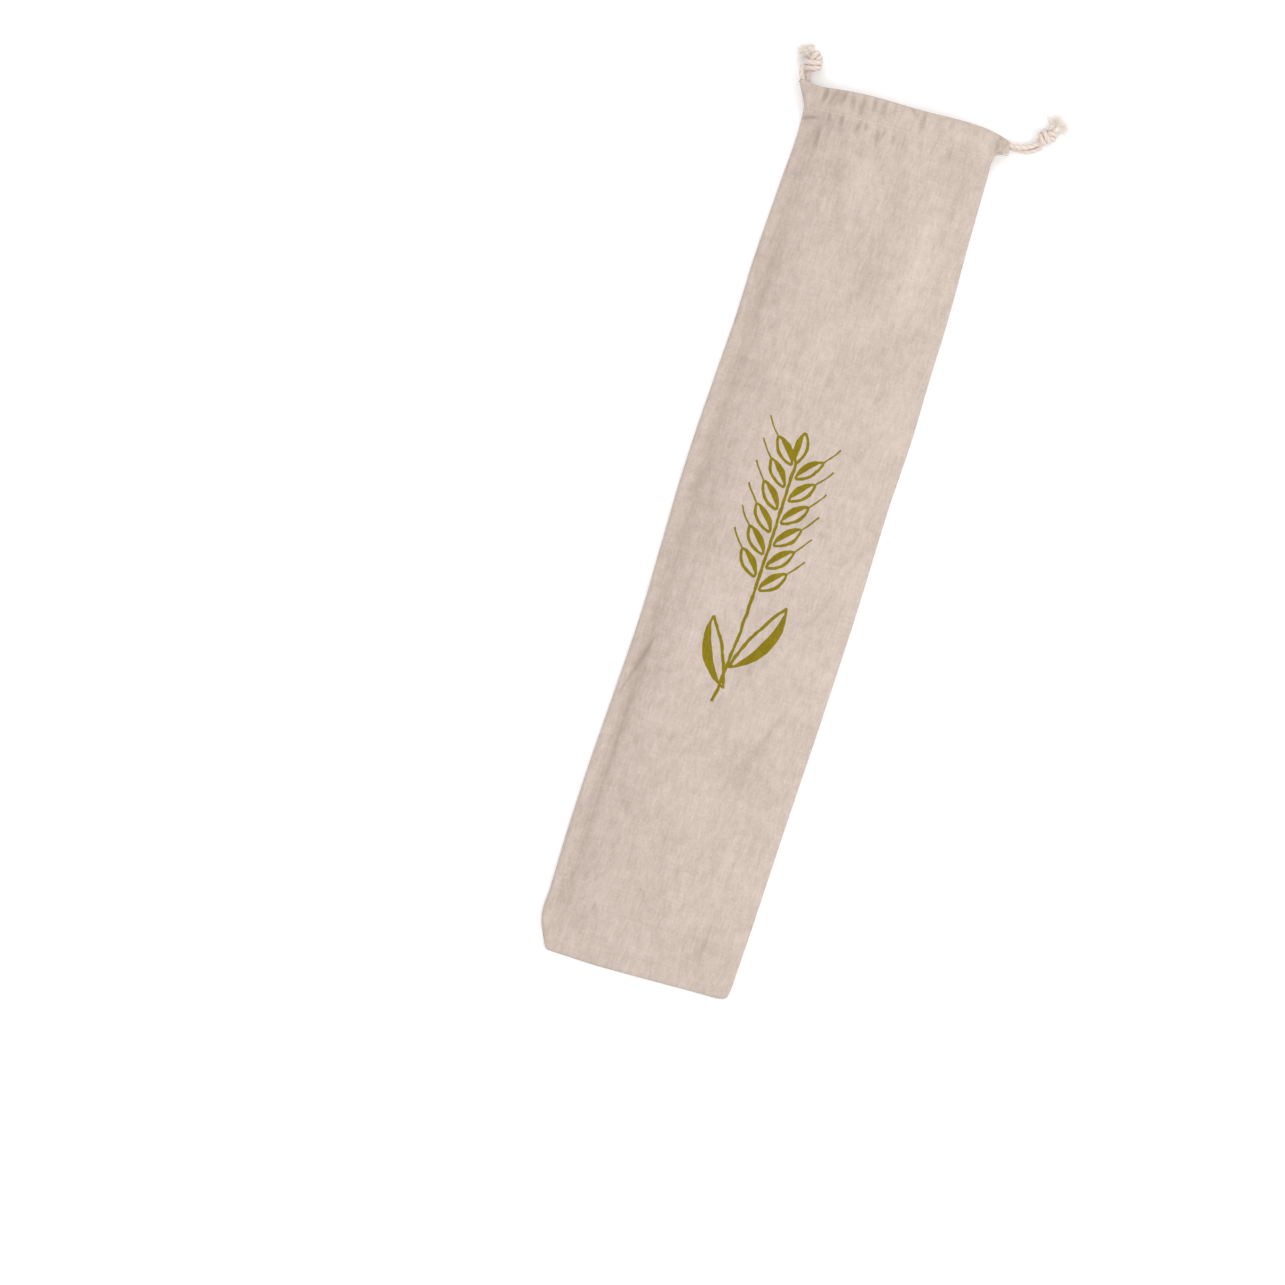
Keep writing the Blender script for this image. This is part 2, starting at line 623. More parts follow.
left_tuft = frayed_ends("left_frayed_ends", left_ends, LEFT_LOCKS, yarns=360, seed=31)
right_tuft = frayed_ends("right_frayed_ends", right_ends, RIGHT_LOCKS, yarns=400, seed=32)
for piece, node in ((left_tuft, "left_tuft"), (right_tuft, "right_tuft")):
    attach(piece, "root")
    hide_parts(node)

for piece, node, line, leaves, pieces in (
    (left_cord, "left_drawstring", left_line, (-0.0798, 0.3277, 0.0081), [left_knot, left_tuft]),
    (right_cord, "right_drawstring", right_line, (0.0772, 0.3291, 0.0097), [right_knot, right_tuft]),
):
    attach(piece, "root")
    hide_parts(node)
    line[::4].tolist() + [line[-1].tolist()]


# ---- Bag ----------------------------------------------------------------------------------------------
# Linen in plain weave, unbleached. A front and a back are sewn together down the sides and across the
# foot, turned right side out, and folded in at the mouth to a casing on each, with a slit between the two
# casings at each side for the cords.

CLOTH = 0.0010  # one layer
LEFT_SELVAGE = -0.0850  # x where the cloth's UV map starts on the front
BACK_START = 0.1700  # across the UV map, where the back starts
SEAM_HEIGHT = 0.0030  # the layers and allowances of a side or foot seam
SEAM_SWELL = 0.066  # how far in from a seam the front rises to its full height
BODY_HEIGHT = 0.0151  # top of the front layer along the middle of the bag
FOOT_SWELL = 0.085  # how far up from the foot seam it rises
EDGE_ROUND = 0.0024  # width of the rounding along the outline
EDGE_LIFT = 0.42  # height of the outline's outermost line, as a share of the cloth's height there
EDGE_MOST = 0.0046  # and the most that this height is
EDGE_UNDER = 0.0012  # how far that line is under the front's top, where the cords leave under it
EDGE_BAND = 0.0003  # half the height of the band where the front and the back meet at the outline
CASING = 0.0068  # thickness of one casing with its cords
CASING_STEP = 0.0013  # how much lower than the casing's top the cloth comes up to it
CASING_START = 0.2960  # y from where the foot of the casing bends the cloth and lifts its edges
SIDES_SPLIT = 0.3110  # y where the side seam ends
LEFT_SPLIT = 0.3165  # the same on the left, where the drawn-up corner holds the seam together
MOUTH_ROUND = 0.0026  # depth of the round fold along the mouth
FOLD_ROWS = 8  # of the mesh round it
CORNER_FLAT = (-0.0730, -0.0620)  # x from where the left corner opens out to the casing's thickness
STITCH_SWELL = 0.045  # how far short of the stitching the front starts to rise to it
RISE_FROM, RISE_TO = -0.003, 0.004  # across the stitching, from where it rises onto the casing
STITCH_SINK, STITCH_GROOVE = 0.00015, 0.0011  # depth and half width of the groove along the stitching
BACK_SINK, BACK_GROOVE = 0.0005, 0.0010  # the same on the back
HEM_EDGE = 0.0030  # how far the turned-in cloth runs past the stitching inside
HEM_START = -0.0665  # x where that cloth starts, clear of the drawn-up left corner
HEM_ROWS = 21  # of the mesh down it
EDGES = (
    # y, left x, right x
    (-0.3355, -0.0622, 0.0700),
    (-0.3320, -0.0648, 0.0733),
    (-0.3278, -0.0664, 0.0748),
    (-0.3205, -0.0706, 0.0757),
    (-0.3132, -0.0730, 0.0758),
    (-0.2912, -0.0735, 0.0762),
    (-0.2473, -0.0745, 0.0766),
    (-0.2034, -0.0745, 0.0768),
    (-0.1302, -0.0730, 0.0777),
    (-0.0863, -0.0723, 0.0780),
    (-0.0278, -0.0738, 0.0780),
    (0.0161, -0.0752, 0.0772),
    (0.0454, -0.0755, 0.0767),
    (0.1039, -0.0745, 0.0774),
    (0.1478, -0.0735, 0.0762),
    (0.1917, -0.0740, 0.0755),
    (0.2502, -0.0728, 0.0726),
    (0.2971, -0.0721, 0.0708),
    (0.3058, -0.0728, 0.0704),
    (0.3102, -0.0735, 0.0701),
    (0.3146, -0.0755, 0.0702),
    (0.3170, -0.0766, 0.0704),
    (0.3190, -0.0778, 0.0711),
    (0.3203, -0.0785, 0.0727),
    (0.3217, -0.0793, 0.0764),
    (0.3229, -0.0800, 0.0788),
    (0.3248, -0.0810, 0.0793),
    (0.3270, -0.0819, 0.0786),
    (0.3310, -0.0830, 0.0776),
    (0.3340, -0.0834, 0.0745),
)
ENDS = (
    # share, foot y, mouth y
    (0.00, -0.3355, 0.3288),
    (0.08, -0.3357, 0.3274),
    (0.18, -0.3357, 0.3294),
    (0.26, -0.3357, 0.3311),
    (0.40, -0.3350, 0.3326),
    (0.53, -0.3342, 0.3331),
    (0.62, -0.3335, 0.3338),
    (0.72, -0.3328, 0.3350),
    (0.82, -0.3320, 0.3357),
    (0.92, -0.3314, 0.3350),
    (0.97, -0.3308, 0.3332),
    (0.99, -0.3298, 0.3320),
    (1.00, -0.3280, 0.3312),
)
CASINGS = (
    # x, stitching y, top z of the front casing
    (-0.080, 0.3100, 0.0118),
    (-0.072, 0.3103, 0.0142),
    (-0.064, 0.3106, 0.0158),
    (-0.048, 0.3116, 0.0180),
    (-0.032, 0.3130, 0.0186),
    (-0.016, 0.3140, 0.0186),
    (0.000, 0.3146, 0.0186),
    (0.016, 0.3150, 0.0186),
    (0.032, 0.3155, 0.0186),
    (0.048, 0.3159, 0.0180),
    (0.064, 0.3161, 0.0158),
    (0.080, 0.3161, 0.0146),
)
GATHER = 0.0019  # height that the gathers add over the casing
ALLOWANCE = 0.0115  # width of the seam allowances inside
ALLOWANCE_SIDE, ALLOWANCE_FOOT = 0.00045, 0.00040  # how far they lift the front, at the sides and foot
SIDE_SOFT, FOOT_SOFT = 0.0008, 0.0010  # half the widths over which that lift fades out
CREASES = (
    # x0, y0, x1, y1, half width, depth
    # gathers of the casing, from the mouth down
    (-0.0611, 0.3295, -0.0612, 0.3160, 0.0023, 0.0015),
    (-0.0485, 0.3310, -0.0558, 0.3120, 0.0042, 0.0012),
    (-0.0520, 0.3310, -0.0575, 0.3150, 0.0020, 0.0011),
    (-0.0463, 0.3305, -0.0486, 0.3190, 0.0024, 0.0012),
    (-0.0600, 0.3220, -0.0250, 0.3250, 0.0080, 0.0007),
    (-0.0412, 0.3300, -0.0392, 0.3155, 0.0027, 0.0009),
    (-0.0326, 0.3320, -0.0332, 0.3130, 0.0031, 0.0011),
    (-0.0250, 0.3325, -0.0240, 0.3205, 0.0024, 0.0009),
    (-0.0168, 0.3330, -0.0173, 0.3165, 0.0026, 0.0008),
    (-0.0095, 0.3330, -0.0089, 0.3235, 0.0017, 0.0005),
    (0.0008, 0.3338, 0.0085, 0.3268, 0.0022, 0.0009),
    (0.0133, 0.3338, 0.0131, 0.3160, 0.0022, 0.0010),
    (0.0238, 0.3340, 0.0242, 0.3235, 0.0021, 0.0004),
    (0.0346, 0.3345, 0.0336, 0.3230, 0.0021, 0.0005),
    (0.0528, 0.3345, 0.0521, 0.3240, 0.0023, 0.0004),
    (0.0700, 0.3345, 0.0702, 0.3195, 0.0017, 0.0010),
    (0.0735, 0.3325, 0.0744, 0.3240, 0.0012, 0.0004),
    (0.0764, 0.3310, 0.0758, 0.3262, 0.0012, 0.0005),
    (0.0712, 0.3206, 0.0752, 0.3232, 0.0012, 0.0006),
    (-0.0288, 0.3320, -0.0280, 0.3150, 0.0024, -0.0007),
    (-0.0212, 0.3325, -0.0200, 0.3180, 0.0022, -0.0006),
    (0.0175, 0.3335, 0.0180, 0.3170, 0.0026, -0.0005),
    # and below the stitching
    (-0.0443, 0.3130, -0.0440, 0.3040, 0.0024, 0.0011),
    (-0.0542, 0.3120, -0.0533, 0.3040, 0.0022, 0.0009),
    (-0.0306, 0.3130, -0.0316, 0.3018, 0.0021, 0.0008),
    (-0.0263, 0.3130, -0.0255, 0.3048, 0.0017, 0.0006),
    (-0.0162, 0.3125, -0.0153, 0.2990, 0.0030, 0.0012),
    (-0.0116, 0.3125, -0.0125, 0.3040, 0.0017, 0.0006),
    (-0.0028, 0.3115, -0.0052, 0.3018, 0.0028, 0.0006),
    (0.0044, 0.3110, 0.0044, 0.3010, 0.0022, 0.0005),
    (0.0160, 0.3135, 0.0169, 0.3040, 0.0022, 0.0005),
    (0.0256, 0.3135, 0.0256, 0.3050, 0.0021, 0.0004),
    (0.0379, 0.3130, 0.0397, 0.3040, 0.0025, 0.0005),
    (0.0555, 0.3120, 0.0563, 0.3030, 0.0022, 0.0005),
    (-0.0579, 0.3010, -0.0570, 0.2825, 0.0026, 0.0010),
    (-0.0612, 0.2980, -0.0630, 0.2760, 0.0085, 0.0009),
    (-0.0722, 0.3016, -0.0620, 0.3050, 0.0018, 0.0013),
    # over the body
    (-0.0540, 0.3600, -0.0540, -0.3600, 0.0200, 0.0014),
    (-0.0575, -0.0940, -0.0690, -0.1350, 0.0042, 0.0004),
    (-0.0580, -0.0950, -0.0668, -0.1290, 0.0014, 0.0011),
    (-0.0668, -0.1290, -0.0695, -0.1400, 0.0013, 0.0006),
    (-0.0560, -0.0960, -0.0647, -0.1290, 0.0014, -0.0005),
    (-0.0625, 0.3300, -0.0628, -0.0200, 0.0085, 0.0014),
    (-0.0625, 0.0700, -0.0618, -0.3600, 0.0085, 0.0014),
    (-0.0612, -0.0700, -0.0604, -0.2650, 0.0020, 0.0003),
    (0.0480, -0.1280, 0.0250, -0.1870, 0.0075, 0.0009),
    (0.0500, -0.1180, 0.0400, -0.1480, 0.0024, 0.0004),
    (0.0300, -0.1650, 0.0205, -0.1930, 0.0024, 0.0004),
    (0.0495, -0.2140, 0.0478, -0.2620, 0.0022, 0.0004),
    (0.0478, -0.2620, 0.0466, -0.3240, 0.0022, 0.0004),
    (0.0446, -0.2160, 0.0440, -0.3240, 0.0018, -0.0003),
    (-0.0590, -0.2965, 0.0640, -0.2940, 0.0020, 0.00015),
    (-0.0505, -0.2925, -0.0452, -0.2905, 0.0013, 0.0003),
    (-0.0462, -0.2958, -0.0440, -0.2990, 0.0013, 0.0003),
    (-0.0395, -0.2915, -0.0385, -0.2985, 0.0015, 0.0003),
    (0.0500, 0.0950, 0.0330, 0.1850, 0.0090, 0.0006),
    (-0.0200, 0.2250, -0.0420, 0.2900, 0.0090, 0.0007),
    (0.0585, 0.3010, 0.0500, 0.2500, 0.0060, 0.0005),
    (0.0150, -0.2500, 0.0400, -0.2000, 0.0100, 0.0005),
    (-0.0130, 0.2900, -0.0100, 0.2050, 0.0060, 0.0005),
    (0.0400, 0.2500, 0.0390, 0.1950, 0.0035, -0.0003),
)
SWELLS = (
    # x, y, reach along X, reach along Y, height
    (-0.0490, 0.3230, 0.0150, 0.0120, -0.0002),
    (0.0050, 0.3245, 0.0220, 0.0130, 0.0005),
    (0.0400, 0.3255, 0.0170, 0.0140, 0.0007),
    (0.0600, 0.3240, 0.0130, 0.0160, 0.0006),
    (0.0570, 0.3060, 0.0150, 0.0120, 0.0007),
    (0.0180, 0.3040, 0.0140, 0.0080, 0.0002),
    (0.0480, 0.2870, 0.0180, 0.0150, -0.0006),
    (-0.0366, 0.2817, 0.0160, 0.0320, -0.0006),
    (-0.0130, 0.2680, 0.0140, 0.0420, 0.0006),
    (0.0140, 0.2680, 0.0140, 0.0160, -0.0005),
    (-0.0280, 0.2320, 0.0130, 0.0280, -0.0005),
    (0.0400, 0.2130, 0.0110, 0.0900, 0.0005),
    (0.0120, 0.1990, 0.0150, 0.0600, -0.0004),
    (-0.0060, 0.1440, 0.0200, 0.0380, 0.0005),
    (0.0610, 0.0900, 0.0210, 0.0950, 0.0005),
    (-0.0535, 0.0290, 0.0150, 0.0450, -0.0005),
    (-0.0350, -0.0205, 0.0160, 0.0300, -0.0004),
    (0.0660, -0.0700, 0.0180, 0.0800, 0.0004),
    (-0.0420, -0.1360, 0.0170, 0.0320, 0.0005),
    (0.0300, -0.1700, 0.0220, 0.0350, -0.0005),
    (-0.0020, -0.2330, 0.0170, 0.0380, -0.0006),
    (0.0450, -0.2480, 0.0090, 0.0400, 0.0004),
    (-0.0560, -0.2720, 0.0180, 0.0280, -0.0005),
    (0.0520, -0.3000, 0.0250, 0.0250, -0.0005),
)
CRUMPLES, CRUMPLE_SEED = 230, 7  # faint creases between those of the table
RUBBED = 2.7  # how much lighter a swell is than a hollow: the cloth is rubbed where it stands up
STITCH_RUB = 0.17  # the same along the stitching, where the hem's edge backs the cloth
STITCH_ROW = 0.0009  # half width of the rubbed row
LESS_RUBBED = (-0.050, -0.010)  # x to the left of which it is rubbed less


def step(low, high, at):
    """0 below low, 1 above high, and 3t² - 2t³ between them."""
    t = np.clip((np.asarray(at, float) - low) / (high - low), 0, 1)
    return t * t * (3 - 2 * t)


def mound(t):
    """1 at 0, falling as a cosine to 0 at -1 and 1."""
    return 0.5 + 0.5 * np.cos(math.pi * np.clip(np.abs(t), 0, 1))


def dome(t):
    """A quarter of a sine wave: 0 at 0, and 1 from 1 on, level there."""
    return np.sin(math.pi / 2 * np.clip(t, 0, 1))


def quarter(t):
    """A quarter circle: 0 at 0, upright there, and 1 from 1 on."""
    return np.sqrt(1 - (1 - np.clip(t, 0, 1)) ** 2)


def bell(away, half):
    """1 at 0, falling as a bell curve to a third at a half width away."""
    return np.exp(-((away / half) ** 2))


def row_y(share, level):
    """The y of a row at a share from the left edge: its level, bent to the foot and mouth at its ends."""
    foot, mouth = EDGES[0][0], EDGES[-1][0]
    y = level + (smooth(ENDS, 1, share) - foot) * (1 - step(foot, foot + 0.030, level))
    return y + (smooth(ENDS, 2, share) - mouth) * step(CASING_START, mouth, level)


def across_at(share, y):
    """The x at a share from the left edge to the right one, and how far that is inside them."""
    left, width = smooth(EDGES, 1, y), smooth(EDGES, 2, y) - smooth(EDGES, 1, y)
    return left + share * width, np.minimum(share, 1 - share) * width


def crumples(count, seed):
    """Rows of faint creases as in CREASES, most of them along the bag, at places of their own."""
    chance = np.random.default_rng(seed)
    x, y = chance.uniform(-0.072, 0.072, count), chance.uniform(-0.325, 0.305, count)
    lean = np.radians(chance.normal(90, 26, count))
    long, half = chance.uniform(0.004, 0.019, count), chance.uniform(0.0018, 0.0045, count)
    deep = chance.uniform(0.00006, 0.00026, count) * chance.choice([-1, 1], count)
    dx, dy = long * np.cos(lean), long * np.sin(lean)
    return np.stack([x - dx, y - dy, x + dx, y + dy, half, deep], 1)


def folds(x, y):
    """The depth of the creases less the slow swells, at points of the front, and how sharply they fold.

    A crease falls off as a cosine across its line, and to a quarter of its depth towards its ends. A
    swell is a cosine mound. Below 0 the second value says how far the cloth is rubbed light.
    """
    depth, sharp = np.zeros_like(x), np.zeros_like(x)
    for x0, y0, x1, y1, half, deep in [*CREASES, *crumples(CRUMPLES, CRUMPLE_SEED)]:
        along = ((x - x0) * (x1 - x0) + (y - y0) * (y1 - y0)) / ((x1 - x0) ** 2 + (y1 - y0) ** 2)
        near = np.clip(along, 0, 1)
        away = np.hypot(x - x0 - near * (x1 - x0), y - y0 - near * (y1 - y0))
        here = mound(away / half) * (0.25 + 0.75 * mound(2 * near - 1) ** 0.6)
        depth += deep * here
        sharp += max(deep, 0) / half * here
    for x0, y0, wide, long, high in SWELLS:
        here = high * mound(np.hypot((x - x0) / wide, (y - y0) / long))
        depth -= here
        sharp -= RUBBED * here / wide
    row = bell(y - smooth(CASINGS, 1, x), STITCH_ROW)
    return depth, sharp - STITCH_RUB * row * (0.4 + 0.6 * step(*LESS_RUBBED, x))


def gathers(x, y):
    """The height of the gathered cloth over the casing and just below its stitching.

    It is about a third as high towards the right end.
    """
    below = smooth(CASINGS, 1, x) - y
    return GATHER * (1 - 0.65 * step(-0.010, 0.040, x)) * (1 - step(0.002, 0.016, below))


def front_height(share, x, y, inside):
    """The top of the front layer: low along the seams, domed inside, and raised over the casing.

    It stands up over the seam allowances inside, and sinks along the stitching.
    """
    foot, stitch, top = smooth(ENDS, 1, share), smooth(CASINGS, 1, x), smooth(CASINGS, 2, x)
    open_edge = SEAM_HEIGHT + (top - CASING_STEP - SEAM_HEIGHT) * step(CASING_START, SIDES_SPLIT + 0.002, y)
    middle = BODY_HEIGHT + (top - CASING_STEP - BODY_HEIGHT) * step(stitch - STITCH_SWELL, stitch, y)
    middle = SEAM_HEIGHT + (middle - SEAM_HEIGHT) * dome((y - foot) / FOOT_SWELL)
    z = open_edge + (np.maximum(middle, open_edge) - open_edge) * dome(inside / SEAM_SWELL)
    z = z + (top - z) * step(stitch + RISE_FROM, stitch + RISE_TO, y)
    z = z - STITCH_SINK * bell(y - stitch, STITCH_GROOVE)
    body = 1 - step(stitch - 0.004, stitch, y)
    beside = 1 - step(ALLOWANCE - SIDE_SOFT, ALLOWANCE + SIDE_SOFT, inside)
    below = 1 - step(ALLOWANCE - FOOT_SOFT, ALLOWANCE + FOOT_SOFT, y - foot)
    z = z + ALLOWANCE_SIDE * beside * body + ALLOWANCE_FOOT * below * body
    soft = step(0.002, 0.008, inside) * body + 1 - body
    return z - folds(x, y)[0] * soft + gathers(x, y)


def outline_lift(share, y):
    """How far the front's outermost line is up.

    It is 0 on a seam and 1 past the seam's end, where the cords leave under it.
    """
    left = step(LEFT_SPLIT, LEFT_SPLIT + 0.004, y)
    right = step(SIDES_SPLIT, SIDES_SPLIT + 0.006, y)
    return np.where(share > 0.5, right, left)


def spaced(*stretches):
    """Values from each (start, end, spacing) in turn, and the last end."""
    values = []
    for start, end, spacing in stretches:
        count = max(round((end - start) / spacing), 1)
        values += [start + (end - start) * k / count for k in range(count)]
    return np.array(values + [stretches[-1][1]])


def layer(shares, front):
    """One layer of the bag on a grid of (row, share), from the foot over the mouth fold to the hem inside.

    The body's rows lie at even levels. The fold is half an ellipse as thick as the casing, and the
    turned-in rows go back down under it, apart from the outer cloth by the casing's thickness, and
    close up to it at the stitching. Returns points, the distance along from the foot, and the number of
    the body's rows.
    """
    foot, mouth = EDGES[0][0], EDGES[-1][0]
    levels = spaced(  # closer at the foot seam, the edge of its allowance and the casing
        (foot, foot + 0.0012, 0.0004),
        (foot + 0.0012, foot + 0.0060, 0.0012),
        (foot + 0.0060, -0.2985, 0.0026),
        (-0.2985, -0.2905, 0.0010),
        (-0.2905, 0.2680, 0.0026),
        (0.2680, 0.3000, 0.0015),
        (0.3000, mouth - MOUTH_ROUND, 0.0008),
    )
    share, level = np.meshgrid(shares, levels)
    y = row_y(share, level)
    x, inside = across_at(share, y)
    from_foot = y - smooth(ENDS, 1, share)
    rim = np.minimum(quarter(inside / EDGE_ROUND), quarter(from_foot / EDGE_ROUND))
    full = front_height(share, x, y, inside)
    edge = np.minimum(full * EDGE_LIFT, EDGE_MOST)
    if front:
        edge = edge + EDGE_BAND + (full - EDGE_UNDER - edge) * outline_lift(share, y)
        z = edge + (full - edge) * rim
    else:
        z = (edge - EDGE_BAND) * (1 - rim) + BACK_SINK * bell(y - smooth(CASINGS, 1, x), BACK_GROOVE)
    outer = np.stack([x, y, z], -1)

    thick = 2 * CLOTH + (CASING - 2 * CLOTH) * step(*CORNER_FLAT, x[-1])
    side = -1 if front else 1
    angle = np.linspace(0, math.pi, FOLD_ROWS + 1)[1:, None]
    depth = smooth(ENDS, 2, shares) - y[-1]
    fold_y = y[-1] + depth * np.sin(angle)
    fold_z = z[-1] + side * thick / 2 * (1 - np.cos(angle))
    fold = np.stack([np.broadcast_to(x[-1], fold_y.shape), fold_y, fold_z], -1)

    down = np.linspace(0, 1, HEM_ROWS + 1)[1:, None]
    hem = smooth(CASINGS, 1, x[-1]) - HEM_EDGE
    in_y = y[-1] + (hem - y[-1]) * down
    in_share = np.broadcast_to(shares, in_y.shape)
    in_x, in_inside = across_at(in_share, in_y)
    stitch = smooth(CASINGS, 1, in_x)
    apart = 2 * CLOTH + (thick - 2 * CLOTH) * step(stitch - 0.0005, stitch + 0.0050, in_y)
    over = front_height(in_share, in_x, in_y, in_inside) if front else np.zeros_like(in_y)
    inner = np.stack([in_x, in_y, over + side * apart], -1)

    grid = np.concatenate([outer, fold, inner])
    moved = np.linalg.norm(np.diff(grid, axis=0, prepend=grid[:1]), axis=2)
    return grid, np.cumsum(moved, axis=0), len(levels)


THREADS = 1450.0  # to a metre, both ways
SWAY_SIZE, SWAY = 130.0, 1.6  # waves to a metre in the threads' course, and their height in threads
SLOW_SHADE, QUICK_SHADE = 42.0, 230.0  # changes of a thread's shade in a metre
HUSK_ENDS = 330.0  # husks and gaps to a metre of thread


def plain_weave():
    """Plain weave of slubby yarns, from a place on the cloth in metres.

    A thread is a half wave across, and the crossings take turns: the product of the two waves says which
    of the two threads is on top. Each thread has shades of its own that change slowly along it. Shade
    is 0 to 1, Height the relief of the threads, and Fleck the rare husks spun in with the flax.
    """
    group, graph, given, out = new_group(
        "plain_weave", "Place", {"Threads per metre": THREADS}, ("Shade", "Height", "Fleck")
    )
    x, y, _ = graph.split(given["Place"])
    sway = (graph.noise(given["Place"], SWAY_SIZE) - 0.5) * SWAY
    across = x * given["Threads per metre"] + sway
    along = y * given["Threads per metre"] - sway
    warp_wave, weft_wave = graph.math("COSINE", across * math.pi), graph.math("COSINE", along * math.pi)
    warp_up = warp_wave * weft_wave * 0.5 + 0.5
    weft_up = 1.0 - warp_up
    warp_high, weft_high = abs(warp_wave) * warp_up, abs(weft_wave) * weft_up

    def thread_shade(thread, run, offset):
        """The shade of a thread at a distance along it, and a number that no other thread has."""
        number = graph.math("ROUND", thread) * 0.713 + offset
        slow = graph.drawn_noise(number, run * SLOW_SHADE)
        quick = graph.drawn_noise(number, run * QUICK_SHADE, offset)
        return slow * 0.6 + quick * 0.4, number

    warp, warp_number = thread_shade(across, y, 3.0)
    weft, weft_number = thread_shade(along, x, 41.0)
    seen = warp * warp_up + weft * weft_up
    graph.feed(out["Shade"], graph.ramp(seen, 0.30, 0.70))
    graph.feed(out["Height"], warp_high + weft_high + graph.ramp(seen, 0.52, 0.72, 0.0, 0.5))
    husks = graph.drawn_noise(warp_number * 3.1, y * HUSK_ENDS, 7.0, 0.0)
    chaff = graph.drawn_noise(weft_number * 2.7, x * HUSK_ENDS, 9.0, 0.0)
    husks, chaff = graph.ramp(husks, 0.84, 0.90) * warp_high, graph.ramp(chaff, 0.85, 0.91) * weft_high
    graph.feed(out["Fleck"], graph.math("MAXIMUM", husks, chaff))
    return group


PLAIN_WEAVE = plain_weave()

PRINT_MIDDLE = (0.0018, -0.0168)
PRINT_STROKE = 0.0025
PRINT_SOFT = 0.00014  # half the width over which a stroke's edge fades
PRINT_WOBBLE = 0.0022  # of the hand: the most that a stroke strays
PEN_LIGHT, PEN_HEAVY = 0.82, 1.12  # width of a stroke where the pen is light or heavy
GRAIN_PITCH = 0.0172  # between the grains up one side of the ear
GRAIN_LEAN = math.radians(42)
GRAIN_OUT = 0.0108  # of a grain's middle from the stalk
GRAIN_LONG, GRAIN_WIDE = 0.0118, 0.0086  # half length, and width
GRAIN_PAIRS = 6
EAR_FOOT = -0.0120  # height of the lowest grains' middle above the middle of the print
STALK_FOOT = -0.1085
AWN, AWN_WIDE = 0.0160, 0.55  # length, and width as a share of a stroke
AWN_CURVE, STALK_CURVE, LEAF_CURVE = 5.0, -0.55, 5.0  # how far off straight, by the length squared
LEAVES = (
    # middle x, middle y, lean in degrees, half length, width
    (0.0165, -0.0560, 27.0, 0.0300, 0.0150),
    (-0.0150, -0.0740, -25.0, 0.0265, 0.0135),
)


def printed_ear():
    """A generic ear of wheat in even strokes: a stalk, two leaves, and pairs of grains with their awns.

    Each side of the ear is cut into equal bands along the grains' lean. In a band a grain is the outline
    of a lens, whose half width falls off as a parabola towards its tips, with one half filled, and its
    awn goes on from the outer tip. A leaf is the same lens, larger. Ink is 1 on a stroke.
    """
    group, graph, given, out = new_group("printed_ear", "Place", {}, ("Ink",))
    x, y, _ = graph.split(given["Place"])
    x = x - PRINT_MIDDLE[0] + (graph.noise(given["Place"], 75.0, 1.0) - 0.5) * PRINT_WOBBLE
    y = y - PRINT_MIDDLE[1]
    pen = graph.ramp(graph.noise(given["Place"], 210.0, 1.0), 0.3, 0.7, PEN_LIGHT, PEN_HEAVY)
    pen = pen * (PRINT_STROKE / 2)

    def within(distance):
        """1 where the distance is below 0."""
        return graph.ramp(distance, -PRINT_SOFT, PRINT_SOFT, 1.0, 0.0)

    def stroke(distance, width=1.0):
        """1 within half a stroke of the line that the distance is measured from."""
        return within(abs(distance) - pen * width)

    def between(value, low, high):
        return (value > low) * (value < high)

    def turned(x, y, sin, cos):
        """How far along a line that leans from upright, and how far to the right of it."""
        return x * sin + y * cos, x * cos - y * sin

    def lens(off, along, long, wide, filled):
        """The outline of a lens about the middle, and the ink on the side of it where filled is below 0."""
        share = along / long
        outline = abs(off) - (1.0 - share * share) * (wide / 2)
        inside = between(along, -long * 1.02, long * 1.02)
        solid = within(outline) * graph.ramp(filled, -0.0009, -0.0006, 1.0, 0.0)
        return [stroke(outline) * inside, solid * inside]

    sin, cos = math.sin(GRAIN_LEAN), math.cos(GRAIN_LEAN)
    left_lower = (x < 0.0) * (GRAIN_PITCH / 2)
    along, off = turned(abs(x), y - EAR_FOOT - left_lower, sin, cos)
    band = graph.math("ROUND", (GRAIN_OUT * cos - off) / (GRAIN_PITCH * sin))
    band = graph.math("MINIMUM", graph.math("MAXIMUM", band, 0.0), GRAIN_PAIRS - 1.0)
    off = off - GRAIN_OUT * cos + band * (GRAIN_PITCH * sin)
    along = along - GRAIN_OUT * sin - band * (GRAIN_PITCH * cos)
    past = along - GRAIN_LONG
    awn = stroke(off + past * past * AWN_CURVE, AWN_WIDE) * between(past, -0.0005, AWN)
    marks = [*lens(off, along, GRAIN_LONG, GRAIN_WIDE, off), awn]

    top = EAR_FOOT + (GRAIN_PAIRS - 0.2) * GRAIN_PITCH
    marks += lens(x, y - top, GRAIN_LONG, GRAIN_WIDE, x)
    lower = graph.math("MINIMUM", y - EAR_FOOT, 0.0)
    stalk = x - lower * lower * STALK_CURVE
    marks.append(stroke(stalk) * between(y, STALK_FOOT, top - GRAIN_LONG))
    for at_x, at_y, lean, long, wide in LEAVES:
        way = math.copysign(1.0, lean)
        along, off = turned(x - at_x, y - at_y, math.sin(math.radians(lean)), math.cos(math.radians(lean)))
        off = off + along * along * (LEAF_CURVE * way)
        marks += lens(off, along, long, wide, off * -way)
    ink = marks[0]
    for mark in marks[1:]:
        ink = graph.math("MAXIMUM", ink, mark)
    graph.feed(out["Ink"], ink)
    return group


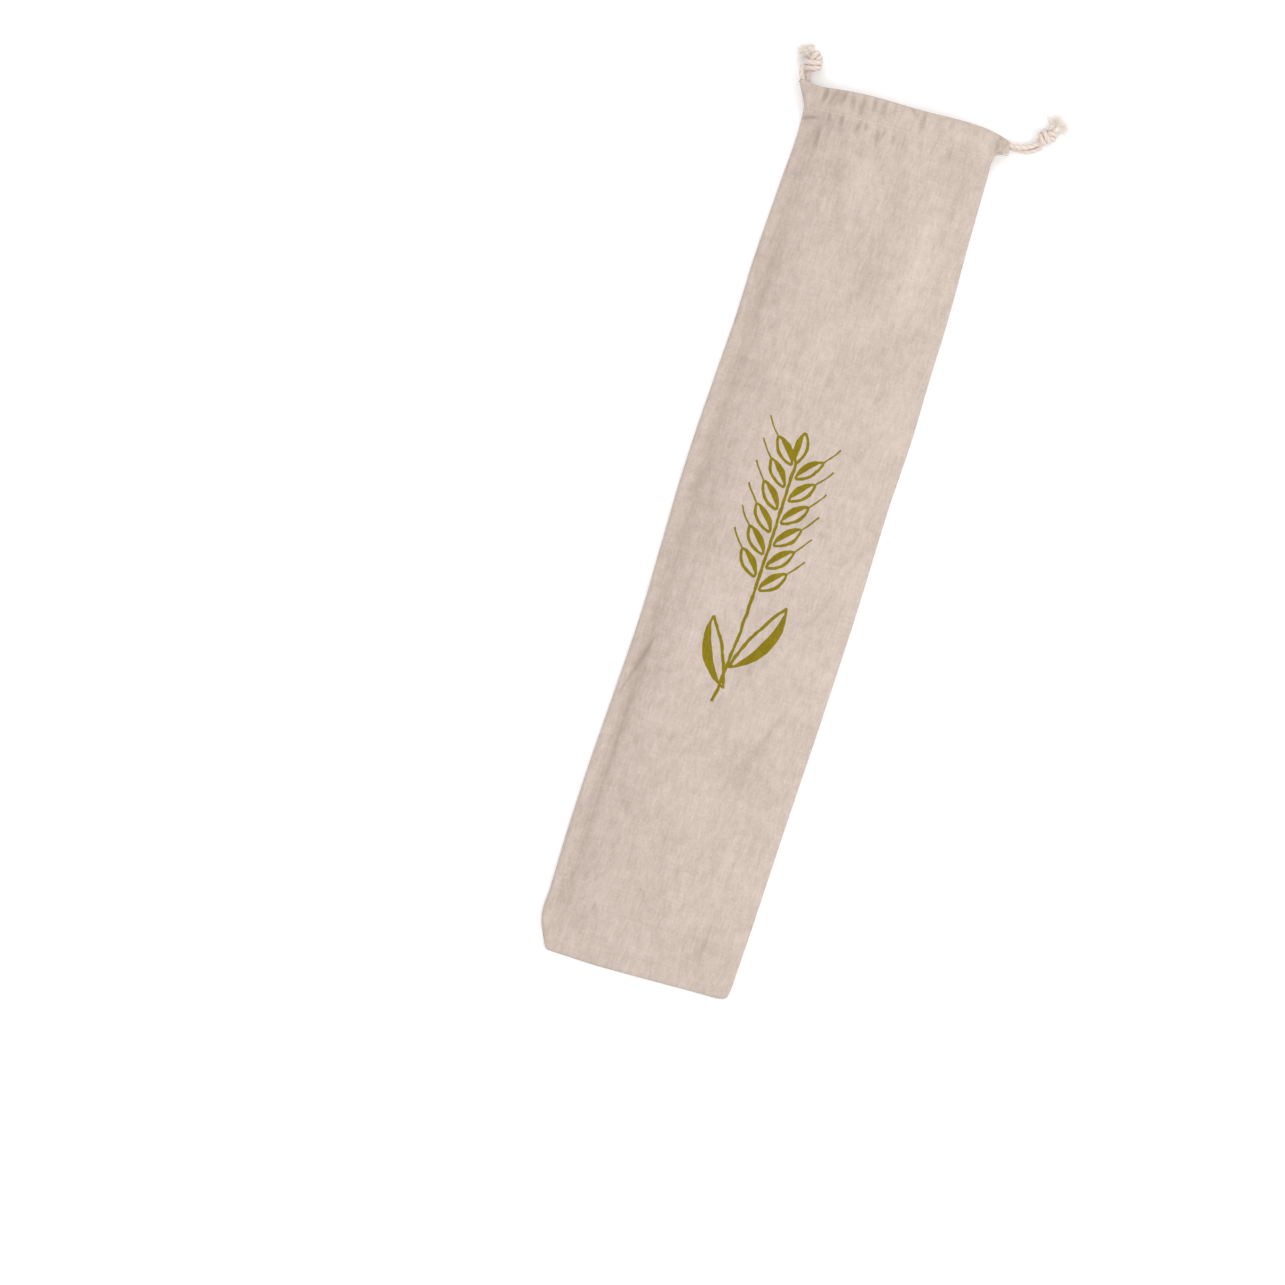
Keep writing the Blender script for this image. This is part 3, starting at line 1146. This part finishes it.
PRINTED_EAR = printed_ear()
LINEN_LIGHT = (0.566, 0.479, 0.4235, 1)
LINEN_DARK = (0.366, 0.295, 0.252, 1)
LINEN_HUSK = (0.150, 0.100, 0.068, 1)
INK_LIGHT = (0.250, 0.191, 0.0005, 1)
INK_DARK = (0.130, 0.098, 0.0003, 1)
LINEN_RELIEF = 0.00013
STREAKS = (
    # changes in a metre across the cloth and along it, share of the shade, share of the relief
    (640.0, 110.0, 0.62, 1.2),
    (230.0, 52.0, 0.52, 2.4),
    (60.0, 620.0, 0.24, 0.0),
)
MOTTLES = (
    # changes in a metre, share of the shade
    (520.0, 0.48),
    (120.0, 0.45),
    (26.0, 0.50),
)
WEAVE_SHADE, GAP_SHADE, FOLD_SHADE = 0.30, 0.55, 0.95  # of the yarns, the gaps between them, the creases
HUSK_SHADE = 0.85
MEAN_HEIGHT = 0.637  # of the weave
INK_WORN = 0.96  # ink left in the gaps of the weave


def linen():
    """Unbleached linen: the weave, streaks of uneven yarn, mottling, husks, creases and the print.

    A streak is noise drawn out along the warp, or less strongly along the weft. The cloth is darker in
    a sharp crease, where the mesh's fold attribute is high, and lighter where it is rubbed, below 0.
    """
    made, graph, shader = new_material("linen", roughness=0.88, sheen=0.05, specular=0.2)
    place = graph.put("ShaderNodeUVMap", uv_map="UVMap")
    u, v, _ = graph.split(place)
    weave = graph.group(PLAIN_WEAVE, {"Place": place})
    wavy = u + graph.noise(place, 45.0, 1.0) * 0.005
    shade = (weave["Shade"] - 0.5) * WEAVE_SHADE
    relief = weave["Height"] * 0.75
    for across, along, shade_share, relief_share in STREAKS:
        streak = graph.drawn_noise(wavy * across, v * along, 0.0, 2.0, 0.55)
        shade = shade + (streak - 0.5) * shade_share
        relief = relief + streak * relief_share
    for scale, shade_share in MOTTLES:
        shade = shade + (graph.noise(place, scale) - 0.5) * shade_share
    shade = shade + (MEAN_HEIGHT - weave["Height"]) * GAP_SHADE
    fold = graph.put("ShaderNodeAttribute", output="Fac", attribute_name="fold")
    shade = graph.math("ADD", shade + fold * FOLD_SHADE, 0.5, clamp=True)
    colour = graph.mix(shade, LINEN_LIGHT, LINEN_DARK)
    colour = graph.mix(weave["Fleck"] * HUSK_SHADE, colour, LINEN_HUSK)
    ear = graph.group(PRINTED_EAR, {"Place": graph.put("ShaderNodeTexCoord", output="Object")})
    on_front = u < BACK_START
    worn = graph.ramp(weave["Height"], 0.05, 0.55, INK_WORN, 1.0)
    ink = ear["Ink"] * on_front * worn
    graph.feed(shader.inputs["Base Color"], graph.mix(ink, colour, graph.mix(shade, INK_LIGHT, INK_DARK)))
    graph.feed(shader.inputs["Normal"], graph.bump(relief, LINEN_RELIEF, 0.8))
    return made


LINEN = linen()
SEAM_COLUMNS = 4  # of the front at each side seam that the back has too
BACK_COLUMNS, BACK_ROWS = 5, 4  # of the front's columns and rows, the back has one in so many
FOOT_ROWS = 6  # of the front at the foot that the back has too
PRESSED = 0.9  # thickness of the mesh's wall, as a share of the cloth's: keeps two layers apart
CREASE_SHADE, MOST_RUBBED = 1.5, -0.4  # of the fold attribute: its scale, and its least value


def bag_cloth():
    """Both layers as one sheet, joined down the sides to where they part, and across the foot.

    The back has only some of the front's rows and columns, and a face at a seam has as many corners as
    there are between two of them. The turned-in rows stop short of the drawn-up left corner.
    """
    across = spaced(  # closer at the side seams, and over the creases of the left half
        (0.0000, 0.0004, 0.0004),
        (0.0004, 0.0028, 0.0008),
        (0.0028, 0.0780, 0.00106),
        (0.0780, 0.1472, 0.00185),
        (0.1472, 0.1496, 0.0008),
        (0.1496, 0.1500, 0.0004),
    )
    shares = across / across[-1]
    count = len(shares)
    right_seam = count - SEAM_COLUMNS
    between = np.arange(SEAM_COLUMNS, right_seam, BACK_COLUMNS)
    kept = np.concatenate([np.arange(SEAM_COLUMNS), between, np.arange(right_seam, count)])
    front, front_run, body_rows = layer(shares, True)
    back, back_run, _ = layer(shares[kept][::-1], False)
    fine_from = int(np.searchsorted(front[:body_rows, (count - 1) // 2, 1], CASING_START))
    coarse = np.arange(FOOT_ROWS, fine_from, BACK_ROWS)
    rows = np.concatenate([np.arange(FOOT_ROWS), coarse, np.arange(fine_from, len(front))])
    back, back_run = back[rows], back_run[rows]

    front_index = np.arange(front.shape[0] * front.shape[1]).reshape(front.shape[:2])
    back_index = front_index.size + np.arange(back.shape[0] * back.shape[1]).reshape(back.shape[:2])
    turned_in = body_rows + FOLD_ROWS
    faces = []
    for index, grid, first_inner in (
        (front_index, front, turned_in),
        (back_index, back, int(np.searchsorted(rows, turned_in))),
    ):
        quads = np.stack([index[:-1, :-1], index[:-1, 1:], index[1:, 1:], index[1:, :-1]], -1)
        shown = np.ones(quads.shape[:2], bool)
        shown[first_inner - 1:] = grid[first_inner - 1:-1, :-1, 0] > HEM_START
        faces += quads[shown].tolist()
    seam_y = front[:, :, 1]
    for here in range(len(rows) - 1):
        low, high = rows[here], rows[here + 1]
        if high < body_rows and seam_y[high, -1] < SIDES_SPLIT:
            upward = front_index[low:high + 1, -1][::-1].tolist()
            faces.append(back_index[[here, here + 1], 0].tolist() + upward)
        if high < body_rows and seam_y[high, 0] < LEFT_SPLIT:
            upward = front_index[low:high + 1, 0].tolist()
            faces.append(upward + back_index[[here + 1, here], -1].tolist())
    for k in range(len(kept) - 1):
        along = front_index[0, kept[k]:kept[k + 1] + 1][::-1].tolist()
        faces.append(along + back_index[0, [-1 - k, -2 - k]].tolist())

    mesh = bpy.data.meshes.new("bread_bag")
    points = np.concatenate([front.reshape(-1, 3), back.reshape(-1, 3)])
    mesh.from_pydata(points.tolist(), [], faces)
    run = front_run.mean(1)[:, None]
    front_uv = np.stack(np.broadcast_arrays(front[..., 0] - LEFT_SELVAGE, run), -1)
    back_uv = np.stack(np.broadcast_arrays(BACK_START - LEFT_SELVAGE - back[..., 0], run[rows]), -1)
    place = np.concatenate([front_uv.reshape(-1, 2), back_uv.reshape(-1, 2)])
    corner = np.empty(len(mesh.loops), np.int32)
    mesh.loops.foreach_get("vertex_index", corner)
    mesh.uv_layers.new(name="UVMap").data.foreach_set("uv", place[corner].astype(np.float32).ravel())
    fold = np.concatenate([folds(front[..., 0], front[..., 1])[1].ravel(), np.zeros(back_index.size)])
    fold = np.clip(fold * CREASE_SHADE, MOST_RUBBED, 1).astype(np.float32)
    mesh.attributes.new("fold", "FLOAT", "POINT").data.foreach_set("value", fold)
    piece = finished("bread_bag", mesh, LINEN)
    thick = piece.modifiers.new("cloth", "SOLIDIFY")
    thick.thickness, thick.offset = CLOTH * PRESSED, -1
    return piece


bag = bag_cloth()
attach(bag, "root")
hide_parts("bag_cloth")


# ---- Casing stitching ---------------------------------------------------------------------------------
# One row of lockstitch in cream cotton thread along the foot of each casing, through the outer cloth and
# the turned-in edge, pulled a little into the cloth.

STITCH_PITCH = 0.0030
STITCH_LENGTH = 0.0023
STITCHES_FROM, STITCHES_TO = -0.0675, 0.0690
STITCH_RINGS, STITCH_SIDES = 9, 6
THREAD = 0.00036  # radius
BACK_THREAD = 0.00038  # height of a stitch's ends on the back, which lies on the floor
THREAD_LIGHT = (0.64, 0.56, 0.50, 1)
THREAD_DARK = (0.53, 0.455, 0.40, 1)
PLY_TURNS = 900.0  # of the plies in a metre
THREAD_RELIEF = 0.00005


def thread_cotton():
    """Two-ply sewing thread: its plies show as slanting bands."""
    made, graph, shader = new_material("sewing_thread", roughness=0.7)
    u, v, _ = graph.split(graph.put("ShaderNodeUVMap", uv_map="UVMap"))
    ply = graph.math("SINE", (u + v * PLY_TURNS) * math.tau)
    shade = graph.ramp(ply, -1.0, 1.0)
    graph.feed(shader.inputs["Base Color"], graph.mix(shade, THREAD_LIGHT, THREAD_DARK))
    graph.feed(shader.inputs["Normal"], graph.bump(ply, THREAD_RELIEF, 0.6))
    return made


def casing_stitching():
    """The stitches of both casings: each is a short arched tube, sunk into the cloth at its two ends.

    Along a stitch its height falls off from the middle as the sixth power of the way to its end, and its
    radius as the fourth.
    """
    middles = np.arange(STITCHES_FROM, STITCHES_TO, STITCH_PITCH)[:, None]
    t = np.linspace(-1, 1, STITCH_RINGS)[None]
    turn = np.arange(STITCH_SIDES) / STITCH_SIDES * math.tau
    ring = np.stack([np.zeros_like(turn), np.cos(turn), np.sin(turn)], -1)
    radius = THREAD * (1 - 0.35 * t**4)[..., None]
    x = middles + t * STITCH_LENGTH / 2
    y = smooth(CASINGS, 1, x)
    left, right = smooth(EDGES, 1, y), smooth(EDGES, 2, y)
    rise = THREAD * (0.80 - 1.6 * t**6)
    front_z = front_height((x - left) / (right - left), x, y, np.minimum(x - left, right - x)) + rise
    along = np.broadcast_to((x - x[:, :1])[:, :, None], x.shape + turn.shape)
    uv = np.stack([np.broadcast_to(turn / math.tau, along.shape), along], -1)
    grids = []
    for z in (front_z, BACK_THREAD - 0.4 * rise):
        line = np.stack(np.broadcast_arrays(x, y, z), -1)
        grids += list(line[:, :, None] + ring * radius[..., None])
    return tubes("casing_stitching", grids, [*uv, *uv], thread_cotton())


stitching = casing_stitching()
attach(stitching, "root")


# ---- Floor and light ----------------------------------------------------------------------------------
# A plain white floor under a soft studio light from the upper left, a fill light from the right, and a
# white sky all round.

FLOOR_REACH = 6.0
FLOOR_DROP = 0.0001  # keeps it clear of the underside of the bag
FLOOR_LIGHT = (0.93, 0.93, 0.93, 1)
FLOOR_DARK = (0.90, 0.90, 0.90, 1)
SKY_STRENGTH = 0.96


def plain_floor():
    """A white matt floor, a little uneven in shade."""
    made, graph, shader = new_material("floor", roughness=0.8)
    place = graph.put("ShaderNodeTexCoord", output="Object")
    graph.feed(shader.inputs["Base Color"], graph.mix(graph.noise(place, 3.0), FLOOR_LIGHT, FLOOR_DARK))
    return made


mesh = bpy.data.meshes.new("floor")
corners = [(x * FLOOR_REACH, y * FLOOR_REACH, 0) for x, y in ((-1, -1), (1, -1), (1, 1), (-1, 1))]
mesh.from_pydata(corners, [], [(0, 1, 2, 3)])
mesh.materials.append(plain_floor())
floor = bpy.data.objects.new("floor", mesh)
floor.location.z = -FLOOR_DROP
bpy.context.scene.collection.objects.link(floor)

for name, place, size, power in (
    ("key_light", (-1.35, 1.30, 2.65), 2.4, 30.0),
    ("fill_light", (2.10, -0.30, 2.30), 1.8, 40.0),
):
    light = bpy.data.lights.new(name, "AREA")
    light.energy, light.size = power, size
    lamp = bpy.data.objects.new(name, light)
    lamp.location = place
    lamp.rotation_mode = "QUATERNION"
    lamp.rotation_quaternion = (-Vector(place)).to_track_quat("-Z", "Y")
    bpy.context.scene.collection.objects.link(lamp)

sky = bpy.data.worlds.new("sky")
sky.use_nodes = True
sky.node_tree.nodes["Background"].inputs["Color"].default_value = (1, 1, 1, 1)
sky.node_tree.nodes["Background"].inputs["Strength"].default_value = SKY_STRENGTH
bpy.context.scene.world = sky
bpy.context.scene.view_settings.view_transform = "Standard"
